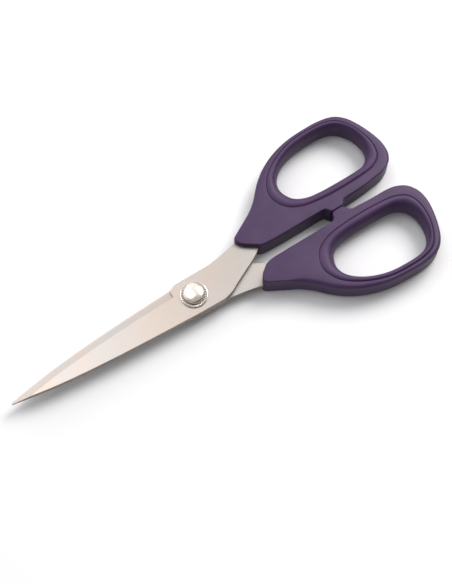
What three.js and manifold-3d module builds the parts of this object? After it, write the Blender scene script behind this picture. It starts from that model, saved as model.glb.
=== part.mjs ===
// Dressmaking and craft scissors with straight blades and moulded two-part handles, 165 mm long.
//
// Millimetres, +Z up, lying closed on a table. The pivot axis is the Z axis, X runs from the pivot
// towards the handles and the blade tips are at -X. The two halves are the same shape: the bottom
// half is the top half turned half a turn about the line where the blades meet, so each half is
// built once with its z = 0 on that line.

import * as THREE from 'three';
import { mergeVertices } from 'three/addons/utils/BufferGeometryUtils.js';
import Module from 'manifold-3d';

const wasm = await Module();
wasm.setup();

// Blades
const tipX = -73.5;
const bladeThickness = 2.0;
const bladeGap = 0.1; // running gap between the two inner faces
const cuttingEdgeLand = 0.25; // height left under the ground bevel
const cuttingBevelWidth = 2.8;
const ricassoHalfWidth = 7.05;

// Handles
const handleThickness = 8.6;
const handleBackX = 91.5;
const handleEdgeRound = 1.3;
// How far each handle stands off the centre line along the slot between them
const slotSides = {
  top: { front: 2.65, middle: 2.25, back: 2 },
  bottom: { front: 3.65, middle: 3.25, back: 2.75 },
};
const stopFrontX = 58.6;
const stopBackX = 64.4;
const stopGap = 0.05; // each stop stands this far off the centre line
const tangFit = 0.3; // gap between a tang and its pocket
const tangPegRadius = 1.7;
const tangPegX = 34.5;
const tangPegY = 10.3;

// Finger liners
const linerThickness = 9.4; // stands proud of both faces of the handle
const linerFit = 0.15;
const linerCrown = 2.2; // how far the middle of the liner's wall stands proud of its rims
const tongueReach = 0.8; // a ridge round the liner that keys it into the handle
const tongueCrest = 0.2; // half of the ridge's narrow outer face
const loopSteps = 44; // straight sides that each loop is made of

// Pivot
const shankRadius = 2.5;
const shankFit = 0.08;
const neckRadius = 3.0;
const neckFlat = 2.5; // half of the distance across the neck's two flats
const neckFit = 0.05;
const headRadius = 3.85;
const headTopZ = 9.3;
const headSideHeight = 0.7;
const domeSteps = 5;
const threadRadius = 2.0;
const toothWasherRadius = 4.95;
const toothWasherThickness = 0.6;
const toothCount = 40;
const nutRadius = 4.7;
const nutHeight = 2.15;
const nutFloor = 0.75; // metal left under the blind thread
const nutKeyHoleRadius = 0.6;
const nutKeyHoleX = 3.1;
const springWasherRadius = 4.4;
const springWasherThickness = 0.25;
const springWasherCup = 0.12;
const bladeWasherRadius = 4.0;
const bladeWasherThickness = 0.45;
const seatGap = 0.05; // between stacked pieces of the pivot

const middleZ = 4.7; // height of the line where the blades meet
const bladeInnerZ = bladeGap / 2;
const bladeOuterZ = bladeInnerZ + bladeThickness;
const bladeBackX = 41; // end of the tang inside the handle

// Back of a blade from the tip to the start of the shank, on the -Y side
const spineLine = [
  [tipX, -0.35], [-66, -1.75], [-56, -3.3], [-40, -4.85], [-20, -6.1], [0, -6.95], [8.5, -7.1],
];
// Cutting edge from the tip to the step in front of the pivot, on the +Y side
const cuttingLine = [
  [tipX, 0.3], [-66, 1.4], [-56, 2.9], [-40, 4.4], [-20, 5.55], [-6.6, 5.95],
];
// Lower and upper side of the shank and of the tang, which the handle covers
const lowerShankLine = [
  [8.5, -7.1], [12, -6.2], [16, -4.1], [20, -2.15], [24, -0.2], [28, 2.1], [29.6, 3.6],
];
const upperShankLine = [
  [26, 10.3], [22, 9.1], [18.5, 8.3], [14.5, 7.6], [10.5, ricassoHalfWidth],
];
const tangCorners = [
  [32, 5.6], [38.5, 6.2], [bladeBackX, 8.6], [40.6, 12.6], [38.6, 16.2], [34, 14.9],
];

// Outer side of a handle from the back of the slot round to the corner beside the blade
const handleBackLine = [
  [81, 3.2], [84.8, 3.9], [88.9, 6.2], [90.8, 9], [handleBackX, 13], [90.9, 18], [88.2, 26], [85.6, 30.4],
  [82.2, 33.1], [76.5, 34.4], [70, 34.5], [62, 33.9], [54, 31.8], [47.5, 28.5], [42.5, 24.6],
  [37.5, 19.4], [32, 15.2], [26.5, 12.1], [22.7, 9.9],
];
const handleFrontLine = [[22.7, 9.9], [24, 7.4], [26, 5.6], [28, 4.2]];

// Seam between a handle and its liner, and the narrowest line round the finger hole
const seamLoop = [
  [43.4, 17.6], [44.3, 13.4], [46.9, 9.9], [52, 7.4], [59, 6.3], [67, 6], [76, 6.3], [82.2, 7.2], [86.4, 9.9],
  [87.9, 15], [87.3, 20.6], [85.1, 26.5], [81.7, 30.7], [77.1, 32.5], [70, 32.9], [62, 32.2], [55.6, 30.1],
  [50.2, 27.2], [45.8, 23.3],
];
const holeLoop = [
  [49, 18.6], [49.7, 15.6], [51.5, 12.8], [55.5, 10.7], [61, 10], [67, 9.9], [74, 9.9], [79.5, 10.4],
  [83, 12.6], [84.8, 16.4], [84.9, 21], [83.4, 25.4], [80, 28.9], [76, 30.2], [71, 30.4], [64, 29.9],
  [57.6, 28.1], [52.6, 25.1], [49.9, 22],
];

function toSolid(geometry) {
  geometry.deleteAttribute('normal');
  geometry.deleteAttribute('uv');
  const merged = mergeVertices(geometry, 1e-4);
  return new wasm.Manifold(new wasm.Mesh({
    numProp: 3,
    vertProperties: new Float32Array(merged.attributes.position.array),
    triVerts: new Uint32Array(merged.index.array),
  }));
}

function toGeometry(solid) {
  const mesh = solid.getMesh();
  const geometry = new THREE.BufferGeometry();
  geometry.setAttribute('position', new THREE.BufferAttribute(mesh.vertProperties, 3));
  geometry.setIndex(new THREE.BufferAttribute(mesh.triVerts, 1));
  geometry.computeVertexNormals();
  return geometry;
}

function curveOf(points, closed = false) {
  const knots = points.map(([x, y]) => new THREE.Vector3(x, y, 0));
  return new THREE.CatmullRomCurve3(knots, closed, 'centripetal');
}

// Points along a smooth curve through the given ones; a closed loop doesn't repeat its first point
function smoothRun(points, steps, closed = false) {
  const run = curveOf(points, closed).getPoints(steps).map((p) => new THREE.Vector2(p.x, p.y));
  return closed ? run.slice(0, -1) : run;
}

function plainRun(points) {
  return points.map(([x, y]) => new THREE.Vector2(x, y));
}

// A shape from runs of points laid end to end, each shared end point kept once
function shapeOf(...runs) {
  const points = runs.flat().filter((p, i, all) => i === 0 || p.distanceTo(all[i - 1]) > 0.01);
  if (points[0].distanceTo(points[points.length - 1]) < 0.01) points.pop();
  return new THREE.Shape(points);
}

function straightPlate(shape, fromZ, toZ) {
  return new THREE.ExtrudeGeometry(shape, { depth: toZ - fromZ, bevelEnabled: false, curveSegments: 16 })
    .translate(0, 0, fromZ);
}

// A plate centred on z = 0 whose top and bottom edges are rounded inside its outline
function roundedPlate(shape, thickness, round, segments) {
  return new THREE.ExtrudeGeometry(shape, {
    depth: thickness - 2 * round,
    bevelThickness: round,
    bevelSize: round,
    bevelOffset: -round,
    bevelSegments: segments,
  }).translate(0, 0, round - thickness / 2);
}

// A plate that stands off the shape by the same margin all round and above and below it
function grownPlate(shape, fromZ, toZ, margin) {
  return new THREE.ExtrudeGeometry(shape, {
    depth: toZ - fromZ,
    bevelThickness: margin,
    bevelSize: margin,
    bevelSegments: 1,
  }).translate(0, 0, fromZ);
}

function roundBar(radius, fromZ, toZ, x = 0, y = 0, sides = 32) {
  return new THREE.CylinderGeometry(radius, radius, toZ - fromZ, sides)
    .rotateX(Math.PI / 2)
    .translate(x, y, (fromZ + toZ) / 2);
}

function bladeShape() {
  const step = plainRun([[-5.6, 6.2], [-4.6, 6.85], [-3.2, ricassoHalfWidth]]);
  return shapeOf(
    smoothRun(spineLine, 18),
    smoothRun(lowerShankLine, 16),
    smoothRun(tangCorners, 14),
    smoothRun(upperShankLine, 10),
    step.reverse(),
    smoothRun([...cuttingLine].reverse(), 18),
  );
}

// The ground bevel is cut by a three-sided bar that follows the cutting edge
function cuttingBevel() {
  const slope = (bladeThickness - cuttingEdgeLand) / cuttingBevelWidth;
  const [startX, startY] = cuttingLine[0];
  const path = curveOf([[startX - 4, startY - 0.6], ...cuttingLine]);
  const section = new THREE.Shape();
  section.moveTo(slope - cuttingEdgeLand, 1);
  section.lineTo(-bladeThickness - slope, 1);
  section.lineTo(-bladeThickness - slope, -cuttingBevelWidth - 1);
  return new THREE.ExtrudeGeometry(section, { steps: 22, extrudePath: path, bevelEnabled: false })
    .translate(0, 0, bladeInnerZ);
}

function plainBlade() {
  return toSolid(straightPlate(bladeShape(), bladeInnerZ, bladeOuterZ))
    .subtract(toSolid(cuttingBevel()))
    .subtract(toSolid(roundBar(tangPegRadius + tangFit, 0, 3, tangPegX, tangPegY, 20)));
}

// A circle with two flats, which stops the screw turning in the top blade
function neckShape(margin) {
  const radius = neckRadius + margin;
  const corner = Math.asin((neckFlat + margin) / radius);
  const shape = new THREE.Shape();
  shape.absarc(0, 0, radius, -corner, corner, false);
  shape.absarc(0, 0, radius, Math.PI - corner, Math.PI + corner, false);
  return shape;
}

function topBlade() {
  return toGeometry(plainBlade().subtract(toSolid(straightPlate(neckShape(neckFit), -1, 4))));
}

function bottomBlade() {
  const recessDepth = bladeWasherThickness - seatGap;
  return toGeometry(plainBlade()
    .subtract(toSolid(roundBar(shankRadius + shankFit, -1, 4)))
    .subtract(toSolid(roundBar(bladeWasherRadius + 0.1, -1, bladeInnerZ + recessDepth))));
}

function handleShape({ front, middle, back }) {
  const slotFront = new THREE.QuadraticBezierCurve(
    new THREE.Vector2(stopFrontX - 2.4, middle),
    new THREE.Vector2(stopFrontX, middle),
    new THREE.Vector2(stopFrontX, 0.5),
  ).getPoints(5);
  const slotBack = new THREE.QuadraticBezierCurve(
    new THREE.Vector2(stopBackX, 0.5),
    new THREE.Vector2(stopBackX, back),
    new THREE.Vector2(stopBackX + 2.4, back),
  ).getPoints(5);
  return shapeOf(
    smoothRun([...handleFrontLine, [30.4, front]], 6),
    slotFront,
    plainRun([[stopFrontX, stopGap], [stopBackX, stopGap]]),
    slotBack,
    smoothRun([[stopBackX + 2.4, back], [74, back + 0.35], ...handleBackLine], 44),
  );
}

function fingerHandle(slotSide) {
  const loop = shapeOf(smoothRun(seamLoop, loopSteps, true));
  const pocket = toSolid(grownPlate(bladeShape(), bladeInnerZ, bladeOuterZ, tangFit))
    .subtract(toSolid(roundBar(tangPegRadius, -1, 4, tangPegX, tangPegY, 20)));
  return toGeometry(toSolid(roundedPlate(handleShape(slotSide), handleThickness, handleEdgeRound, 2))
    .subtract(toSolid(straightPlate(loop, -handleThickness, handleThickness)))
    .subtract(toSolid(grownPlate(loop, -tongueCrest, tongueCrest, tongueReach + tangFit)))
    .subtract(pocket));
}

// The liner's wall bulges into the finger hole, so the space cut out of it narrows to the middle
function fingerLiner() {
  const seam = shapeOf(smoothRun(seamLoop, loopSteps, true));
  const hole = shapeOf(smoothRun(holeLoop, loopSteps, true));
  const rim = new THREE.ExtrudeGeometry(seam, {
    depth: linerThickness - 1.2,
    bevelThickness: 0.6,
    bevelSize: 0.6,
    bevelOffset: -0.6 - linerFit,
    bevelSegments: 1,
  }).translate(0, 0, 0.6 - linerThickness / 2);
  const tongue = grownPlate(seam, -tongueCrest, tongueCrest, tongueReach);
  const space = new THREE.ExtrudeGeometry(hole, {
    depth: 0.2,
    bevelThickness: linerThickness / 2,
    bevelSize: -linerCrown,
    bevelOffset: linerCrown,
    bevelSegments: 3,
  }).translate(0, 0, -0.1);
  return toGeometry(toSolid(rim).add(toSolid(tongue)).subtract(toSolid(space)));
}

function lathe(profile, segments) {
  const points = profile.map(([r, z]) => new THREE.Vector2(r, z));
  return new THREE.LatheGeometry(points, segments).rotateX(Math.PI / 2);
}

// Domed head, two-flat neck for the top blade, round shank for the bottom blade, threaded end
function pivotScrew() {
  const headBaseZ = middleZ + bladeOuterZ + toothWasherThickness + 2 * seatGap;
  const neckBaseZ = middleZ + bladeInnerZ;
  const threadTopZ = nutHeight + seatGap;
  const crownBaseZ = headBaseZ + headSideHeight;
  const dome = [];
  for (let i = 0; i <= domeSteps; i += 1) {
    const turn = (i / domeSteps) * (Math.PI / 2);
    dome.push([headRadius * Math.cos(turn), crownBaseZ + (headTopZ - crownBaseZ) * Math.sin(turn)]);
  }
  dome[dome.length - 1][0] = 0;
  const body = toSolid(lathe([
    [0, nutFloor + 0.2], [threadRadius - 0.3, nutFloor + 0.2], [threadRadius, nutFloor + 0.5],
    [threadRadius, threadTopZ], [shankRadius, threadTopZ], [shankRadius, neckBaseZ], [neckRadius, neckBaseZ],
    [neckRadius, headBaseZ], [headRadius - 0.2, headBaseZ], [headRadius, headBaseZ + 0.2], ...dome,
  ], 30));
  const flatCut = new THREE.BoxGeometry(10, 2, headBaseZ - neckBaseZ);
  const flatZ = (neckBaseZ + headBaseZ) / 2;
  return toGeometry([-1, 1].reduce((solid, side) => solid
    .subtract(toSolid(flatCut.clone().translate(0, side * (neckFlat + 1), flatZ))), body));
}

// A ring that bites on the top blade, with a fine tooth every nine degrees round its upper face
function serratedWasher() {
  const low = middleZ + bladeOuterZ + seatGap;
  const high = low + toothWasherThickness;
  let ring = toSolid(lathe([
    [neckRadius + 0.1, low], [toothWasherRadius, low], [toothWasherRadius, high - 0.25],
    [toothWasherRadius - 0.3, high], [neckRadius + 0.1, high], [neckRadius + 0.1, low],
  ], toothCount));
  for (let i = 0; i < toothCount; i += 1) {
    const notch = new THREE.BoxGeometry(0.7, 0.28, 0.28)
      .rotateX(Math.PI / 4)
      .translate(headRadius + 0.35, 0, high)
      .rotateZ((i + 0.5) * (2 * Math.PI / toothCount));
    ring = ring.subtract(toSolid(notch));
  }
  return toGeometry(ring);
}

function pivotNut() {
  let nut = toSolid(lathe([
    [0, 0], [nutRadius - 0.5, 0], [nutRadius, 0.5], [nutRadius, nutHeight - 0.2], [nutRadius - 0.2, nutHeight],
    [threadRadius + 0.05, nutHeight], [threadRadius + 0.05, nutFloor], [0, nutFloor],
  ], 30));
  for (const side of [-1, 1]) {
    nut = nut.subtract(toSolid(roundBar(nutKeyHoleRadius, -0.5, 0.9, side * nutKeyHoleX, 0, 14)));
  }
  return toGeometry(nut);
}

function springWasher() {
  const low = nutHeight + seatGap;
  const inner = shankRadius + 0.15;
  return lathe([
    [inner, low + springWasherCup], [springWasherRadius, low], [springWasherRadius, low + springWasherThickness],
    [inner, low + springWasherCup + springWasherThickness], [inner, low + springWasherCup],
  ], 36);
}

function bladeWasher() {
  const high = middleZ + bladeInnerZ - 0.03;
  const low = high - bladeWasherThickness;
  const inner = shankRadius + 0.1;
  return lathe([
    [inner, low], [bladeWasherRadius, low], [bladeWasherRadius, high], [inner, high], [inner, low],
  ], 32);
}

function satinSteel() {
  return new THREE.MeshStandardMaterial({ color: '#c8c3ba', roughness: 0.32, metalness: 1 });
}

function polishedSteel() {
  return new THREE.MeshStandardMaterial({ color: '#e2e0dc', roughness: 0.08, metalness: 1 });
}

function springSteel() {
  return new THREE.MeshStandardMaterial({ color: '#8f9092', roughness: 0.4, metalness: 1 });
}

function handlePlastic() {
  return new THREE.MeshStandardMaterial({ color: '#564560', roughness: 0.5, metalness: 0 });
}

function linerElastomer() {
  return new THREE.MeshStandardMaterial({ color: '#5c4a67', roughness: 0.6, metalness: 0 });
}

function washerPolymer() {
  return new THREE.MeshStandardMaterial({ color: '#e6e3da', roughness: 0.55, metalness: 0 });
}

function piece(name, geometry, material) {
  const mesh = new THREE.Mesh(geometry, material);
  mesh.name = name;
  return mesh;
}

function scissorHalf(side, bladeGeometry) {
  const half = new THREE.Group();
  half.add(piece(`${side}_blade`, bladeGeometry, satinSteel()));
  half.add(piece(`${side}_handle`, fingerHandle(slotSides[side]), handlePlastic()));
  half.add(piece(`${side}_finger_liner`, fingerLiner(), linerElastomer()));
  half.position.z = middleZ;
  return half;
}

const scissors = new THREE.Group();
const bottomHalf = scissorHalf('bottom', bottomBlade());
bottomHalf.rotation.x = Math.PI;
scissors.add(scissorHalf('top', topBlade()));
scissors.add(bottomHalf);
scissors.add(piece('pivot_screw', pivotScrew(), polishedSteel()));
scissors.add(piece('serrated_washer', serratedWasher(), springSteel()));
scissors.add(piece('blade_washer', bladeWasher(), washerPolymer()));
scissors.add(piece('spring_washer', springWasher(), springSteel()));
scissors.add(piece('pivot_nut', pivotNut(), satinSteel()));

export default scissors;
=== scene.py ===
import math

import bmesh
import bpy
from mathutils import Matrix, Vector


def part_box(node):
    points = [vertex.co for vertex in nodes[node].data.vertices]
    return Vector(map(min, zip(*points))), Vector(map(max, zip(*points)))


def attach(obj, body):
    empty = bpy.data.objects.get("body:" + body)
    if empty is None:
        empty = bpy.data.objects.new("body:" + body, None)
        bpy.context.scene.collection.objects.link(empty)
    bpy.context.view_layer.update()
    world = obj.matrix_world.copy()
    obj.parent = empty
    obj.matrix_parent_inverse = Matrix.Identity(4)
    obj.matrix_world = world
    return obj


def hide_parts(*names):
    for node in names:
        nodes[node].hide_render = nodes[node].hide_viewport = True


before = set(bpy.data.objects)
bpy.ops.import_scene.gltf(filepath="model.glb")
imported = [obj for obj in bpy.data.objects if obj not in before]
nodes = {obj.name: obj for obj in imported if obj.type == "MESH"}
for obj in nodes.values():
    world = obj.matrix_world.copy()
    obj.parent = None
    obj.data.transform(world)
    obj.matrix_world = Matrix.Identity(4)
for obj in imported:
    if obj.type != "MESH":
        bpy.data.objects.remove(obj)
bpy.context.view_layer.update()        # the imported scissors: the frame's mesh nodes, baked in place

mm = 0.001
scene = bpy.context.scene
middleZ = (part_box("top_handle")[0].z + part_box("top_handle")[1].z) / 2  # where the blades meet
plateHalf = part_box("top_handle")[1].z - middleZ  # half the thickness of a handle
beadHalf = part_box("top_finger_liner")[1].z - middleZ  # half the thickness of its liner


def report(text):
    print("scissors:", text)


def linear(hexColour):
    channels = [int(hexColour[i:i + 2], 16) / 255 for i in (1, 3, 5)]
    return (*[c / 12.92 if c <= 0.04045 else ((c + 0.055) / 1.055) ** 2.4 for c in channels], 1.0)


def addNode(tree, kind, settings=None, links=None):
    node = tree.nodes.new(kind)
    for key, value in (settings or {}).items():
        if isinstance(key, str) and hasattr(node, key):
            setattr(node, key, value)
        else:
            node.inputs[key].default_value = value
    for key, (source, output) in (links or {}).items():
        tree.links.new(source.outputs[output], node.inputs[key])
    return node


def newMaterial(name):
    material = bpy.data.materials.new(name)
    material.use_nodes = True
    tree = material.node_tree
    tree.nodes.clear()
    return material, tree


def setRamp(ramp, stops):
    elements = ramp.color_ramp.elements
    while len(elements) < len(stops):
        elements.new(0.5)
    for element, (place, colour) in zip(elements, stops):
        element.position = place
        element.color = colour


bladeSteelLook = {
    "base": "#b1a8a2", "warm": "#b3a69d", "cool": "#aea8a4",
    "roughness": (0.28, 0.33), "grindBump": 0.03, "cloudMm": 14.0,
    "grindMm": 0.16, "grindStretch": 40.0,  # real grind lines are under 0.05 mm apart: coarsened to show
    "tipX": -70 * mm, "tipPaintedSheen": 1.1,  # painted reflection: colour brightened towards the tip and darkened at the shank
    "shankX": 22 * mm, "shankPaintedShade": 0.84,
}


def bladeSteel():
    # martensitic stainless, ground along its length then satin finished: faint long lines, soft warm cast
    look = bladeSteelLook
    material, tree = newMaterial("bladeSteel")
    place = addNode(tree, "ShaderNodeTexCoord")
    stretch = look["grindStretch"]
    lengthwise = addNode(tree, "ShaderNodeMapping", {
        "Scale": (1.0, stretch, stretch),
    }, {"Vector": (place, "Object")})
    grind = addNode(tree, "ShaderNodeTexNoise", {
        "Scale": 1 / (stretch * look["grindMm"] * mm), "Detail": 4.0, "Roughness": 0.6,
    }, {"Vector": (lengthwise, "Vector")})
    cloud = addNode(tree, "ShaderNodeTexNoise", {
        "Scale": 1 / (look["cloudMm"] * mm), "Detail": 2.0, "Roughness": 0.5,
    }, {"Vector": (place, "Object")})
    tint = addNode(tree, "ShaderNodeValToRGB", None, {"Fac": (cloud, "Fac")})
    setRamp(tint, [(0.35, linear(look["warm"])), (0.5, linear(look["base"])), (0.66, linear(look["cool"]))])
    streak = addNode(tree, "ShaderNodeMapRange", {
        "From Min": 0.3, "From Max": 0.7, "To Min": 0.97, "To Max": 1.02,
    }, {"Value": (grind, "Fac")})
    axes = addNode(tree, "ShaderNodeSeparateXYZ", None, {"Vector": (place, "Object")})
    # painted reflection: the colour is scaled from brighter at the tip to darker at the shank, standing in
    # for how the lamps reflect along the blade
    paintedSheenGradient = addNode(tree, "ShaderNodeMapRange", {
        "From Min": look["tipX"], "From Max": look["shankX"],
        "To Min": look["tipPaintedSheen"], "To Max": look["shankPaintedShade"],
    }, {"Value": (axes, "X")})
    lift = addNode(tree, "ShaderNodeMath", {
        "operation": "MULTIPLY",
    }, {0: (streak, "Result"), 1: (paintedSheenGradient, "Result")})
    colour = addNode(tree, "ShaderNodeMix", {
        "data_type": "RGBA", "blend_type": "MULTIPLY", 0: 1.0,
    }, {6: (tint, "Color"), 7: (lift, "Value")})
    rough = addNode(tree, "ShaderNodeMapRange", {
        "From Min": 0.3, "From Max": 0.7, "To Min": look["roughness"][0], "To Max": look["roughness"][1],
    }, {"Value": (grind, "Fac")})
    bump = addNode(tree, "ShaderNodeBump", {
        "Strength": look["grindBump"], "Distance": 0.02 * mm,
    }, {"Height": (grind, "Fac")})
    shader = addNode(tree, "ShaderNodeBsdfPrincipled", {"Metallic": 1.0}, {
        "Base Color": (colour, 2), "Roughness": (rough, "Result"), "Normal": (bump, "Normal"),
    })
    addNode(tree, "ShaderNodeOutputMaterial", None, {"Surface": (shader, "BSDF")})
    return material


# painted shade: the blade's sides take darker colours than the ground faces, standing in for the shade they
# lie in
bladeWallShadeLook = {
    "dark": "#857b73", "light": "#a3998f", "roughness": (0.38, 0.5), "stampMm": 0.35, "stampBump": 0.2,
}


def bladeWall():
    # the stamped sides of the blank: left as cut, so coarser than the ground faces; their darker colour is
    # painted shade for sides that face away from the light
    look = bladeWallShadeLook
    material, tree = newMaterial("bladeWallSteelPaintedShade")
    place = addNode(tree, "ShaderNodeTexCoord")
    upright = addNode(tree, "ShaderNodeMapping", {"Scale": (1.0, 1.0, 0.15)}, {"Vector": (place, "Object")})
    stamp = addNode(tree, "ShaderNodeTexNoise", {
        "Scale": 1 / (look["stampMm"] * mm), "Detail": 3.0, "Roughness": 0.6,
    }, {"Vector": (upright, "Vector")})
    tint = addNode(tree, "ShaderNodeValToRGB", None, {"Fac": (stamp, "Fac")})
    setRamp(tint, [(0.35, linear(look["dark"])), (0.65, linear(look["light"]))])
    rough = addNode(tree, "ShaderNodeMapRange", {
        "From Min": 0.3, "From Max": 0.7, "To Min": look["roughness"][0], "To Max": look["roughness"][1],
    }, {"Value": (stamp, "Fac")})
    bump = addNode(tree, "ShaderNodeBump", {
        "Strength": look["stampBump"], "Distance": 0.02 * mm,
    }, {"Height": (stamp, "Fac")})
    shader = addNode(tree, "ShaderNodeBsdfPrincipled", {"Metallic": 1.0}, {
        "Base Color": (tint, "Color"), "Roughness": (rough, "Result"), "Normal": (bump, "Normal"),
    })
    addNode(tree, "ShaderNodeOutputMaterial", None, {"Surface": (shader, "BSDF")})
    return material


handleLook = {
    "base": "#3d2a4a", "light": "#432f4e", "dark": "#382545",
    "roughness": (0.42, 0.50), "sparkMm": 0.22, "sparkBump": 0.22, "cloudMm": 9.0, "gloss": 0.22,
}
linerLook = {
    "base": "#3e2b4b", "light": "#443050", "dark": "#392746",
    "roughness": (0.46, 0.54), "sparkMm": 0.16, "sparkBump": 0.16, "cloudMm": 7.0, "gloss": 0.22,
}


def mouldedPlastic(name, look):
    # moulded in a spark-eroded tool: a fine even grain that breaks up the highlight, faint flow clouds;
    # the grain of a real tool is about 0.05 mm, drawn coarser here so that it shows
    material, tree = newMaterial(name)
    place = addNode(tree, "ShaderNodeTexCoord")
    spark = addNode(tree, "ShaderNodeTexNoise", {
        "Scale": 1 / (look["sparkMm"] * mm), "Detail": 2.0, "Roughness": 0.55,
    }, {"Vector": (place, "Object")})
    cloud = addNode(tree, "ShaderNodeTexNoise", {
        "Scale": 1 / (look["cloudMm"] * mm), "Detail": 3.0, "Roughness": 0.5,
    }, {"Vector": (place, "Object")})
    tint = addNode(tree, "ShaderNodeValToRGB", None, {"Fac": (cloud, "Fac")})
    setRamp(tint, [(0.3, linear(look["dark"])), (0.5, linear(look["base"])), (0.72, linear(look["light"]))])
    rough = addNode(tree, "ShaderNodeMapRange", {
        "From Min": 0.3, "From Max": 0.7, "To Min": look["roughness"][0], "To Max": look["roughness"][1],
    }, {"Value": (cloud, "Fac")})
    bump = addNode(tree, "ShaderNodeBump", {
        "Strength": look["sparkBump"], "Distance": 0.03 * mm,
    }, {"Height": (spark, "Fac")})
    shader = addNode(tree, "ShaderNodeBsdfPrincipled", {"IOR": 1.5, "Specular IOR Level": look["gloss"]}, {
        "Base Color": (tint, "Color"), "Roughness": (rough, "Result"), "Normal": (bump, "Normal"),
    })
    addNode(tree, "ShaderNodeOutputMaterial", None, {"Surface": (shader, "BSDF")})
    return material


screwLook = {"colour": "#ddd0c8", "roughness": (0.18, 0.24), "ringMm": 0.4, "ringBump": 0.01}
washerLook = {"colour": "#d6cec6", "roughness": (0.24, 0.32), "ringMm": 0.3, "ringBump": 0.05}
nutLook = {"colour": "#bdb8b0", "roughness": (0.22, 0.34), "ringMm": 0.25, "ringBump": 0.25}
smearMm = 0.9


def turnedMetal(name, look):
    # turned on a lathe: fine rings round the pivot axis, faint handling smears; the rings are drawn
    # several times coarser than a real finishing cut so that they show
    material, tree = newMaterial(name)
    place = addNode(tree, "ShaderNodeTexCoord")
    rings = addNode(tree, "ShaderNodeTexWave", {
        "wave_type": "RINGS", "rings_direction": "Z", "wave_profile": "SIN",
        "Scale": 0.314 / (look["ringMm"] * mm),  # a wave texture repeats every 0.314 units at scale 1
        "Distortion": 0.6, "Detail": 2.0, "Detail Scale": 2.0,
    }, {"Vector": (place, "Object")})
    smear = addNode(tree, "ShaderNodeTexNoise", {
        "Scale": 1 / (smearMm * mm), "Detail": 3.0, "Roughness": 0.6,
    }, {"Vector": (place, "Object")})
    rough = addNode(tree, "ShaderNodeMapRange", {
        "From Min": 0.3, "From Max": 0.7, "To Min": look["roughness"][0], "To Max": look["roughness"][1],
    }, {"Value": (smear, "Fac")})
    tint = addNode(tree, "ShaderNodeValToRGB", None, {"Fac": (smear, "Fac")})
    bright = linear(look["colour"])
    setRamp(tint, [(0.3, tuple(0.9 * c for c in bright[:3]) + (1.0,)), (0.7, bright)])
    bump = addNode(tree, "ShaderNodeBump", {
        "Strength": look["ringBump"], "Distance": 0.01 * mm,
    }, {"Height": (rings, "Fac")})
    shader = addNode(tree, "ShaderNodeBsdfPrincipled", {"Metallic": 1.0}, {
        "Base Color": (tint, "Color"), "Roughness": (rough, "Result"), "Normal": (bump, "Normal"),
    })
    addNode(tree, "ShaderNodeOutputMaterial", None, {"Surface": (shader, "BSDF")})
    return material


polymerLook = {"dark": "#d8d4c8", "light": "#eae7df", "rubMm": 0.8}


def washerPolymer():
    # natural acetal, turned from rod: waxy off-white, slightly rubbed
    material, tree = newMaterial("washerPolymer")
    place = addNode(tree, "ShaderNodeTexCoord")
    rub = addNode(tree, "ShaderNodeTexNoise", {
        "Scale": 1 / (polymerLook["rubMm"] * mm), "Detail": 3.0,
    }, {"Vector": (place, "Object")})
    tint = addNode(tree, "ShaderNodeValToRGB", None, {"Fac": (rub, "Fac")})
    setRamp(tint, [(0.3, linear(polymerLook["dark"])), (0.7, linear(polymerLook["light"]))])
    shader = addNode(tree, "ShaderNodeBsdfPrincipled", {"Roughness": 0.45, "IOR": 1.48}, {
        "Base Color": (tint, "Color"),
    })
    addNode(tree, "ShaderNodeOutputMaterial", None, {"Surface": (shader, "BSDF")})
    return material


tableSet = {"width": 14.0, "colour": "#dcdcde"}  # so wide that low side views see nothing beyond it


def tableSurface():
    # matt laminate: a plain pale surface with hardly any shine
    material, tree = newMaterial("tableSurface")
    shader = addNode(tree, "ShaderNodeBsdfPrincipled", {
        "Base Color": linear(tableSet["colour"]), "Roughness": 0.9, "Specular IOR Level": 0.2,
    })
    addNode(tree, "ShaderNodeOutputMaterial", None, {"Surface": (shader, "BSDF")})
    return material


def sectionLoops(nodeName, height):
    # closed loops of points where a level plane cuts a frame node, longest first
    bm = bmesh.new()
    bm.from_mesh(nodes[nodeName].data)
    bmesh.ops.remove_doubles(bm, verts=bm.verts, dist=1e-6)
    geometry = bm.verts[:] + bm.edges[:] + bm.faces[:]
    bmesh.ops.bisect_plane(
        bm, geom=geometry, dist=1e-7, plane_co=(0, 0, height), plane_no=(0, 0, 1),
        clear_inner=True, clear_outer=True,
    )
    loops = []
    left = set(bm.verts)
    while left:
        start = min(left, key=lambda v: (v.co.x, v.co.y))
        loop = [start]
        left.discard(start)
        here = start
        while True:
            steps = [e.other_vert(here) for e in here.link_edges if e.other_vert(here) in left]
            if not steps:
                break
            here = steps[0]
            left.discard(here)
            loop.append(here)
        loops.append([v.co.to_2d() for v in loop])
    bm.free()
    return sorted(loops, key=loopLength, reverse=True)


def loopLength(loop):
    return sum((loop[i] - loop[i - 1]).length for i in range(len(loop)))


def signedArea(loop):
    return sum(loop[i - 1].cross(loop[i]) for i in range(len(loop))) / 2


def turnAt(loop, i):
    before = loop[i] - loop[i - 1]
    after = loop[(i + 1) % len(loop)] - loop[i]
    return math.degrees(math.atan2(before.cross(after), before.dot(after)))


def tidyLoop(loop):
    # anticlockwise, without doubled points and without the points that only split a straight side
    loop = [p for i, p in enumerate(loop) if (p - loop[i - 1]).length > 0.02 * mm]
    loop = [p for i, p in enumerate(loop) if abs(turnAt(loop, i)) > 0.25]
    return loop if signedArea(loop) > 0 else loop[::-1]


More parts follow.
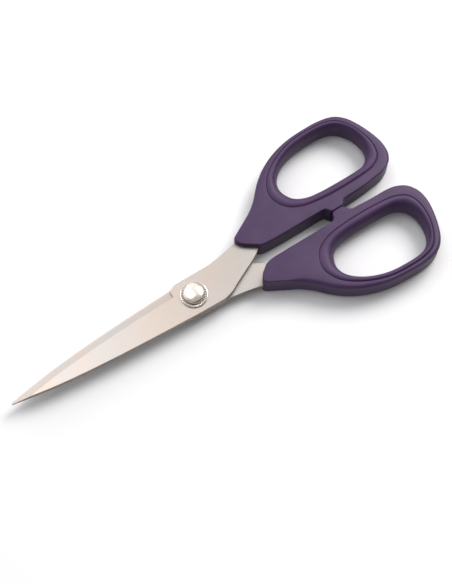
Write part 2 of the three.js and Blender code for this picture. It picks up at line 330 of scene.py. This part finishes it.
def curvePoint(a, b, c, d, t):
    # centripetal curve from b to c, with a and d beyond them
    ta = 0.0
    tb = ta + max((b - a).length, 1e-9) ** 0.5
    tc = tb + max((c - b).length, 1e-9) ** 0.5
    td = tc + max((d - c).length, 1e-9) ** 0.5
    u = tb + (tc - tb) * t
    ab = a * ((tb - u) / (tb - ta)) + b * ((u - ta) / (tb - ta))
    bc = b * ((tc - u) / (tc - tb)) + c * ((u - tb) / (tc - tb))
    cd = c * ((td - u) / (td - tc)) + d * ((u - tc) / (td - tc))
    abc = ab * ((tc - u) / (tc - ta)) + bc * ((u - ta) / (tc - ta))
    bcd = bc * ((td - u) / (td - tb)) + cd * ((u - tb) / (td - tb))
    return abc * ((tc - u) / (tc - tb)) + bcd * ((u - tb) / (tc - tb))


def evenly(points, count):
    # count points an equal way apart along an open run, both ends included
    reach = [0.0]
    for i in range(1, len(points)):
        reach.append(reach[-1] + (points[i] - points[i - 1]).length)
    result = []
    k = 0
    for i in range(count):
        target = reach[-1] * i / (count - 1)
        while k < len(points) - 2 and reach[k + 1] < target:
            k += 1
        span = max(reach[k + 1] - reach[k], 1e-12)
        result.append(points[k].lerp(points[k + 1], (target - reach[k]) / span))
    return result


def smoothLoop(loop, spacing, cornerTurn):
    # a fine loop through the given points that stays sharp where it turns by more than cornerTurn
    corners = [i for i in range(len(loop)) if abs(turnAt(loop, i)) > cornerTurn]
    closed = not corners
    corners = corners or [0]
    fine = []
    for c, start in enumerate(corners):
        stop = corners[(c + 1) % len(corners)]
        steps = (stop - start) % len(loop) or len(loop)
        run = [loop[(start + i) % len(loop)] for i in range(steps + 1)]
        before = loop[start - 1] if closed else run[0] * 2 - run[1]
        after = loop[(stop + 1) % len(loop)] if closed else run[-1] * 2 - run[-2]
        padded = [before] + run + [after]
        dense = []
        for i in range(1, len(padded) - 2):
            dense += [curvePoint(*padded[i - 1:i + 3], k / 12) for k in range(12)]
        dense.append(run[-1])
        length = sum((dense[i] - dense[i - 1]).length for i in range(1, len(dense)))
        fine += evenly(dense, max(3, round(length / spacing) + 1))[:-1]
    return fine


def softenCorners(loop, cornerTurn, rounds, hollowRounds):
    # rubs the sharp corners of a fine anticlockwise loop down to a small radius, hollow ones to a larger
    turns = [turnAt(loop, i) for i in range(len(loop))]
    for sign, count in ((1, rounds), (-1, hollowRounds)):
        near = set()
        for i, turn in enumerate(turns):
            if turn * sign > cornerTurn:
                near |= {(i + k) % len(loop) for k in range(-count, count + 1)}
        for _ in range(count):
            loop = [
                (loop[i - 1] + loop[i] * 2 + loop[(i + 1) % len(loop)]) / 4 if i in near else p
                for i, p in enumerate(loop)
            ]
    return loop


def toSegment(p, a, b):
    side = b - a
    share = max(0.0, min(1.0, (p - a).dot(side) / max(side.length_squared, 1e-18)))
    return (p - a - side * share).length


def distanceToLoop(p, loop):
    return min(toSegment(p, loop[i - 1], loop[i]) for i in range(len(loop)))


def insetLoop(loop, distances):
    # moves an anticlockwise loop inwards, each point by its own distance; where the moved points
    # would cross, as inside a corner, they gather on one point
    count = len(loop)
    moved = []
    for i, p in enumerate(loop):
        along = (loop[(i + 1) % count] - loop[i - 1]).normalized()
        moved.append(p + Vector((-along.y, along.x)) * distances[i])
    good = [distanceToLoop(q, loop) > 0.96 * distances[i] for i, q in enumerate(moved)]
    if all(good):
        return moved
    for i in range(count):
        if good[i]:
            continue
        back, ahead = i, i
        while not good[back % count]:
            back -= 1
        while not good[ahead % count]:
            ahead += 1
        moved[i] = (moved[back % count] + moved[ahead % count]) / 2
    return moved


def polarPoint(loop, centre, angle):
    # where a ray from the centre meets the loop
    ray = Vector((math.cos(angle), math.sin(angle)))
    best = None
    for i in range(len(loop)):
        a, b = loop[i - 1] - centre, loop[i] - centre
        ca, cb = ray.cross(a), ray.cross(b)
        if ca == cb or ca * cb > 0:
            continue
        hit = a.lerp(b, ca / (ca - cb))
        if hit.dot(ray) > 0 and (best is None or hit.length < best.length):
            best = hit
    return centre + best


def finishMesh(name, bm, material, body, replaced, smoothAngle=35):
    mesh = bpy.data.meshes.new(name)
    bmesh.ops.recalc_face_normals(bm, faces=bm.faces)
    for face in bm.faces:
        face.smooth = True
    bm.to_mesh(mesh)
    bm.free()
    piece = bpy.data.objects.new(name, mesh)
    scene.collection.objects.link(piece)
    mesh.materials.append(material)
    mesh.set_sharp_from_angle(angle=math.radians(smoothAngle))
    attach(piece, body)
    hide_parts(*replaced)
    return piece


def sweepRing(loops):
    # a closed ring skin: the first loop is extruded to each of the others and back to itself
    bm = bmesh.new()
    first = [bm.verts.new(p) for p in loops[0]]
    edges = [bm.edges.new((first[i - 1], first[i])) for i in range(len(first))]
    here = first
    for loop in loops[1:] + loops[:1]:
        made = bmesh.ops.extrude_edge_only(bm, edges=edges)["geom"]
        fresh = {g for g in made if isinstance(g, bmesh.types.BMVert)}
        ahead = []
        for vert, place in zip(here, loop):
            twin = next(e.other_vert(vert) for e in vert.link_edges if e.other_vert(vert) in fresh)
            twin.co = place
            ahead.append(twin)
        edges = [bm.edges.get((ahead[i - 1], ahead[i])) for i in range(len(ahead))]
        here = ahead
    bmesh.ops.remove_doubles(bm, verts=bm.verts, dist=0.002 * mm)
    return bm


def spinProfile(profile, steps):
    # profile points are (radius, height) from axis to axis, or a closed loop off the axis
    bm = bmesh.new()
    verts = [bm.verts.new((r, 0, z)) for r, z in profile]
    edges = [bm.edges.new((verts[i], verts[i + 1])) for i in range(len(verts) - 1)]
    if profile[0][0] > 1e-9:
        edges.append(bm.edges.new((verts[-1], verts[0])))
    bmesh.ops.spin(
        bm, geom=verts + edges, cent=(0, 0, 0), axis=(0, 0, 1), angle=2 * math.pi, steps=steps,
        use_merge=True,
    )
    bmesh.ops.remove_doubles(bm, verts=bm.verts, dist=0.002 * mm)
    return bm


def frameCopy(nodeName):
    # a merged copy of a frame node with its flat faces joined up again
    bm = bmesh.new()
    bm.from_mesh(nodes[nodeName].data)
    bmesh.ops.remove_doubles(bm, verts=bm.verts, dist=1e-6)
    bmesh.ops.dissolve_limit(
        bm, angle_limit=math.radians(0.4), verts=bm.verts, edges=bm.edges, use_dissolve_boundaries=False,
    )
    return bm


def softEdges(piece, width, segments, angle):
    bevel = piece.modifiers.new("softEdges", "BEVEL")
    bevel.limit_method = "ANGLE"
    bevel.angle_limit = math.radians(angle)
    bevel.width = width
    bevel.segments = segments
    bevel.harden_normals = True
    return piece


cameraSet = {
    "lookAt": (11.7, -2.7, 0.0), "distance": 431.3,  # mm
    "azimuth": -32.73, "elevation": 66.8,  # degrees
    "lens": 73.97, "sensor": 36.0,
}


def makeCamera():
    turn, lift = math.radians(cameraSet["azimuth"]), math.radians(cameraSet["elevation"])
    back = Vector((math.sin(turn) * math.cos(lift), -math.cos(turn) * math.cos(lift), math.sin(lift)))
    data = bpy.data.cameras.new("camera")
    data.lens = cameraSet["lens"]
    data.sensor_width = cameraSet["sensor"]
    data.clip_start = 0.01
    camera = bpy.data.objects.new("camera", data)
    camera.location = Vector(cameraSet["lookAt"]) * mm + back * cameraSet["distance"] * mm
    camera.rotation_euler = (-back).to_track_quat("-Z", "Y").to_euler()
    scene.collection.objects.link(camera)
    scene.camera = camera
    return camera


tentSet = {
    "colour": "#ffffff", "horizon": 0.34, "zenith": 0.64,
    "brightSide": (-0.07, 1.0, 0.0), "sideGain": 1.5,  # the side the light comes from
    "darkFrom": -0.45, "darkTo": -0.85, "darkLevel": 0.22,  # the unlit side of the room
}
lightSets = [
    {
        "name": "keySoftbox", "towards": (0.70, 0.20, 0.69), "away": 0.9, "size": 0.45, "watts": 7.5,
        "colour": "#fffdfa",
    },
    {
        "name": "topSoftbox", "towards": (-0.12, 0.35, 0.93), "away": 1.0, "size": 0.6, "watts": 1.4,
        "colour": "#ffffff",
    },
]


def makeTable():
    bm = bmesh.new()
    bmesh.ops.create_grid(bm, x_segments=1, y_segments=1, size=tableSet["width"] / 2)
    mesh = bpy.data.meshes.new("table")
    bm.to_mesh(mesh)
    bm.free()
    mesh.materials.append(tableSurface())
    table = bpy.data.objects.new("table", mesh)
    scene.collection.objects.link(table)


def makeLights():
    world = bpy.data.worlds.new("studio")
    world.use_nodes = True
    tree = world.node_tree
    tree.nodes.clear()
    place = addNode(tree, "ShaderNodeTexCoord")
    axes = addNode(tree, "ShaderNodeSeparateXYZ", None, {"Vector": (place, "Generated")})
    lift = addNode(tree, "ShaderNodeMapRange", {
        "To Min": tentSet["horizon"], "To Max": tentSet["zenith"],
    }, {"Value": (axes, "Z")})
    side = addNode(tree, "ShaderNodeVectorMath", {
        "operation": "DOT_PRODUCT", 1: tentSet["brightSide"],
    }, {0: (place, "Generated")})
    gain = addNode(tree, "ShaderNodeMapRange", {"To Max": tentSet["sideGain"]}, {"Value": (side, "Value")})
    room = addNode(tree, "ShaderNodeMapRange", {
        "interpolation_type": "SMOOTHSTEP", "From Min": tentSet["darkTo"], "From Max": tentSet["darkFrom"],
        "To Min": tentSet["darkLevel"],
    }, {"Value": (side, "Value")})
    both = addNode(tree, "ShaderNodeMath", {"operation": "ADD"}, {0: (lift, "Result"), 1: (gain, "Result")})
    level = addNode(tree, "ShaderNodeMath", {
        "operation": "MULTIPLY",
    }, {0: (both, "Value"), 1: (room, "Result")})
    tent = addNode(tree, "ShaderNodeBackground", {
        "Color": linear(tentSet["colour"]),
    }, {"Strength": (level, "Value")})
    addNode(tree, "ShaderNodeOutputWorld", None, {"Surface": (tent, "Background")})
    scene.world = world
    for light in lightSets:
        data = bpy.data.lights.new(light["name"], "AREA")
        data.shape = "SQUARE"
        data.size = light["size"]
        data.energy = light["watts"]
        data.color = linear(light["colour"])[:3]
        lamp = bpy.data.objects.new(light["name"], data)
        towards = Vector(light["towards"]).normalized()
        lamp.location = towards * light["away"]
        lamp.rotation_euler = (-towards).to_track_quat("-Z", "Y").to_euler()
        scene.collection.objects.link(lamp)


scene.view_settings.view_transform = "Standard"
makeCamera()
makeTable()
makeLights()
report("camera, table and lights are set")


handleSet = {
    "spacing": 0.8 * mm, "edgeRound": 1.5 * mm, "slotRound": 0.5 * mm, "edgeSteps": 6,
    "slotReach": 4.5 * mm, "frontX": 31 * mm,  # the rim is nearly sharp nearer the slot and the blade
    "blend": 3 * mm,  # and grows to its full rounding over this length
    "lip": 0.45 * mm, "lipDrop": 0.2 * mm,  # soft edge where the face falls to the liner's seam
    "lipCurve": [(1.0, 0.0), (0.62, 0.06), (0.3, 0.25), (0.08, 0.6), (0.0, 1.0)],  # shares of lip and drop
    "partingDepth": 0.012 * mm, "partingHalf": 0.06 * mm, "straightWall": 0.4,
    "cornerTurn": 40, "cornerRounds": 2, "hollowRounds": 7,  # degrees, then passes of smoothing
    "seamDrop": 1.5 * mm,  # how far below the face the frame's outline is read
    "seamSpacing": 0.5 * mm, "skin": 0.03 * mm,  # held this far inside the frame's outline
}
linerSet = {
    "points": 220, "spacing": 0.5 * mm, "seamGap": 0.04 * mm, "crest": 0.996,
    # share of the way from the seam to the hole, and share of the crest's height above the middle
    "profile": [
        (0.0, 0.5), (0.0, 0.865), (0.025, 0.885), (0.06, 0.92), (0.12, 0.962), (0.20, 0.99), (0.30, 1.0),
        (0.41, 0.99), (0.52, 0.96), (0.63, 0.90), (0.73, 0.80), (0.82, 0.66), (0.90, 0.48), (0.96, 0.29),
        (0.99, 0.13), (1.0, 0.0),
    ],
}


def placed(loop, heights, sign):
    return [Vector((p.x, p.y, middleZ + sign * z)) for p, z in zip(loop, heights)]


def mirroredStack(stack):
    # stack holds (loop, height above the middle) from the middle of one wall to the middle of the other;
    # a height is one number or one for each point
    full = [(loop, z if isinstance(z, list) else [z] * len(loop)) for loop, z in stack]
    upper = [placed(loop, heights, 1) for loop, heights in full]
    lower = [placed(loop, heights, -1) for loop, heights in reversed(full[1:-1])]
    return upper + lower


def edgeRounds(outer):
    # the rim is well rounded on the outside and nearly sharp beside the slot and at the blade
    blend = handleSet["blend"]
    rounds = []
    for p in outer:
        away = min((abs(p.y) - handleSet["slotReach"]) / blend, (p.x - handleSet["frontX"]) / blend)
        share = max(0.0, min(1.0, away))
        rounds.append(handleSet["slotRound"] + (handleSet["edgeRound"] - handleSet["slotRound"]) * share)
    return rounds


def makeHandle(side, material):
    sectionZ = middleZ + plateHalf - handleSet["seamDrop"]
    outer, seam = [tidyLoop(loop) for loop in sectionLoops(f"{side}_handle", sectionZ)[:2]]
    outer = smoothLoop(outer, handleSet["spacing"], handleSet["cornerTurn"])
    outer = softenCorners(
        outer, handleSet["cornerTurn"], handleSet["cornerRounds"], handleSet["hollowRounds"],
    )
    outer = insetLoop(outer, [handleSet["skin"]] * len(outer))
    seam = smoothLoop(seam, handleSet["seamSpacing"], 90)
    centre = sum(seam, Vector((0, 0))) / len(seam)
    inner = [polarPoint(seam, centre, math.atan2(p.y - centre.y, p.x - centre.x)) for p in outer]
    rims = [distanceToLoop(p, seam) for p in outer]
    drops = edgeRounds(outer)
    rounds = [min(drop, 0.5 * rim) for drop, rim in zip(drops, rims)]
    lips = [min(handleSet["lip"], 0.2 * distanceToLoop(p, outer)) for p in inner]
    stack = [
        (insetLoop(outer, [handleSet["partingDepth"]] * len(outer)), 0.0),
        (outer, handleSet["partingHalf"]),
        (outer, 3 * handleSet["partingHalf"]),  # keeps the parting line's shading narrow
        (outer, handleSet["straightWall"] * plateHalf),
        (outer, [plateHalf - drop for drop in drops]),
    ]
    for k in range(1, handleSet["edgeSteps"] + 1):
        bend = math.radians(90) * k / handleSet["edgeSteps"]
        loop = insetLoop(outer, [r * (1 - math.cos(bend)) + 1e-6 for r in rounds])
        stack.append((loop, [plateHalf - drop * (1 - math.sin(bend)) for drop in drops]))
    outward = insetLoop(inner, [-1.0 * mm] * len(inner))
    for reach, fall in handleSet["lipCurve"]:
        loop = [p.lerp(q, reach * lip / mm) for p, q, lip in zip(inner, outward, lips)]
        stack.append((loop, plateHalf - handleSet["lipDrop"] * fall))
    stack.append((inner, handleSet["straightWall"] * plateHalf))
    stack.append((inner, 0.0))
    bm = sweepRing(mirroredStack(stack))
    return finishMesh(
        f"{side}HandleShell", bm, material, f"{side}_half", [f"{side}_handle"],
    )


def makeLiner(side, material):
    sectionZ = middleZ + plateHalf - handleSet["seamDrop"]
    seam, hole = [
        smoothLoop(tidyLoop(sectionLoops(name, height)[1]), linerSet["spacing"], 90)
        for name, height in ((f"{side}_handle", sectionZ), (f"{side}_finger_liner", middleZ))
    ]
    centre = sum(hole, Vector((0, 0))) / len(hole)
    angles = [2 * math.pi * i / linerSet["points"] for i in range(linerSet["points"])]
    inner = [polarPoint(hole, centre, a) for a in angles]
    outer = [polarPoint(seam, centre, a) for a in angles]
    outer = insetLoop(outer, [linerSet["seamGap"]] * len(outer))
    crest = beadHalf * linerSet["crest"]
    stack = [(outer, 0.0)]
    for share, rise in linerSet["profile"]:
        stack.append(([p.lerp(q, share) for p, q in zip(outer, inner)], crest * rise))
    bm = sweepRing(mirroredStack(stack))
    return finishMesh(
        f"{side}FingerLiner", bm, material, f"{side}_half", [f"{side}_finger_liner"],
    )


handleMaterial = mouldedPlastic("handlePlastic", handleLook)
linerMaterial = mouldedPlastic("linerElastomer", linerLook)
for side in ("top", "bottom"):
    makeHandle(side, handleMaterial)
    makeLiner(side, linerMaterial)
    report(f"{side} handle and liner are moulded")


bladeSet = {
    "edgeWidth": 0.1 * mm, "edgeSegments": 2, "edgeAngle": 22, "smoothAngle": 20,
    "wallSlope": 0.35, "endSlope": 0.8,  # a face steeper than the first counts as a stamped wall
}
bladeMaterial = bladeSteel()
bladeWallMaterial = bladeWall()


def makeBlade(side):
    bm = frameCopy(f"{side}_blade")
    piece = finishMesh(
        f"{side}BladeGround", bm, bladeMaterial, f"{side}_half", [f"{side}_blade"],
        bladeSet["smoothAngle"],
    )
    piece.data.materials.append(bladeWallMaterial)
    for face in piece.data.polygons:
        slope = max(abs(face.normal.z) / bladeSet["wallSlope"], abs(face.normal.x) / bladeSet["endSlope"])
        face.material_index = 1 if slope < 1 else 0  # the run-out of the bevel is ground, not stamped
    return softEdges(piece, bladeSet["edgeWidth"], bladeSet["edgeSegments"], bladeSet["edgeAngle"])


for side in ("top", "bottom"):
    makeBlade(side)
report("blades are ground")


screwSet = {
    "steps": 72, "sideRise": 0.62 * mm, "footRound": 0.18 * mm, "footGap": 0.05 * mm,
    "domeSteps": 14, "domeFlat": 0.9,  # under 1 gives the dome a fuller shoulder
    "neck": 2.5 * mm, "thread": 2.0 * mm, "threadTop": 2.2 * mm, "threadChamfer": 0.3 * mm,
}
serratedSet = {
    "teeth": 40, "stepsPerTooth": 4, "toothDepth": 0.2 * mm, "rim": 0.26 * mm, "seatRadius": 3.3 * mm,
    "valleyDrop": 0.05 * mm, "smoothAngle": 25,
}


def makeScrew(material):
    low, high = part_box("pivot_screw")
    radius = high.x
    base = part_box("serrated_washer")[1].z + screwSet["footGap"]
    shoulder = base + screwSet["sideRise"]
    foot, neck, thread = screwSet["footRound"], screwSet["neck"], screwSet["thread"]
    threadTop, chamfer = screwSet["threadTop"], screwSet["threadChamfer"]
    profile = [
        (0, low.z), (thread - chamfer, low.z), (thread, low.z + chamfer), (thread, threadTop),
        (neck, threadTop), (neck, base), (radius - foot, base),
        (radius - 0.3 * foot, base + 0.3 * foot), (radius, base + foot),
    ]
    steps = screwSet["domeSteps"]
    for k in range(steps + 1):
        bend = math.radians(90) * k / steps
        wide = radius * math.cos(bend) ** screwSet["domeFlat"] if k < steps else 0
        profile.append((wide, shoulder + (high.z - shoulder) * math.sin(bend)))
    bm = spinProfile(profile, screwSet["steps"])
    return finishMesh("pivotScrewHead", bm, material, "top_half", ["pivot_screw"])


def makeSerratedWasher(material):
    low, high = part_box("serrated_washer")
    radius, rim = high.x, serratedSet["rim"]
    valley = high.z - serratedSet["valleyDrop"]
    profile = [
        (serratedSet["seatRadius"], low.z), (radius - 0.08 * mm, low.z), (radius, low.z + 0.08 * mm),
        (radius, high.z - 0.18 * mm), (radius - 0.06 * mm, high.z - 0.06 * mm), (radius - 0.2 * mm, high.z),
        (radius - rim, high.z - 0.02 * mm), (radius - rim - 0.08 * mm, valley),
        (radius - rim - 0.5 * mm, valley - 0.02 * mm), (serratedSet["seatRadius"], valley - 0.04 * mm),
    ]
    count = serratedSet["teeth"] * serratedSet["stepsPerTooth"]
    bm = spinProfile(profile, count)
    for vert in bm.verts:
        reach = vert.co.to_2d().length
        if vert.co.z > valley - 0.05 * mm and reach < radius - rim - 0.05 * mm:
            turn = math.atan2(vert.co.y, vert.co.x) / (2 * math.pi) * serratedSet["teeth"]
            vert.co.z -= serratedSet["toothDepth"] * abs((turn % 1.0) - 0.5) * 2
    return finishMesh(
        "serratedWasherRing", bm, material, "top_half", ["serrated_washer"],
        serratedSet["smoothAngle"],
    )


nutSet = {"edgeWidth": 0.08 * mm, "edgeSegments": 2, "edgeAngle": 30}


def makeNut(material):
    bm = frameCopy("pivot_nut")
    piece = finishMesh(
        "pivotNutTurned", bm, material, "top_half", ["pivot_nut"], nutSet["edgeAngle"],
    )
    return softEdges(piece, nutSet["edgeWidth"], nutSet["edgeSegments"], nutSet["edgeAngle"])


polishedSteel = turnedMetal("polishedScrew", screwLook)
washerSteel = turnedMetal("washerSteel", washerLook)
nutSteel = turnedMetal("turnedNut", nutLook)
makeScrew(polishedSteel)
makeSerratedWasher(washerSteel)
makeNut(nutSteel)


def dress(nodeName, material):
    # a frame node that stays: only its material changes
    node = nodes[nodeName]
    node.data.materials.clear()
    node.data.materials.append(material)


dress("spring_washer", washerSteel)
dress("blade_washer", washerPolymer())
report("pivot is assembled")
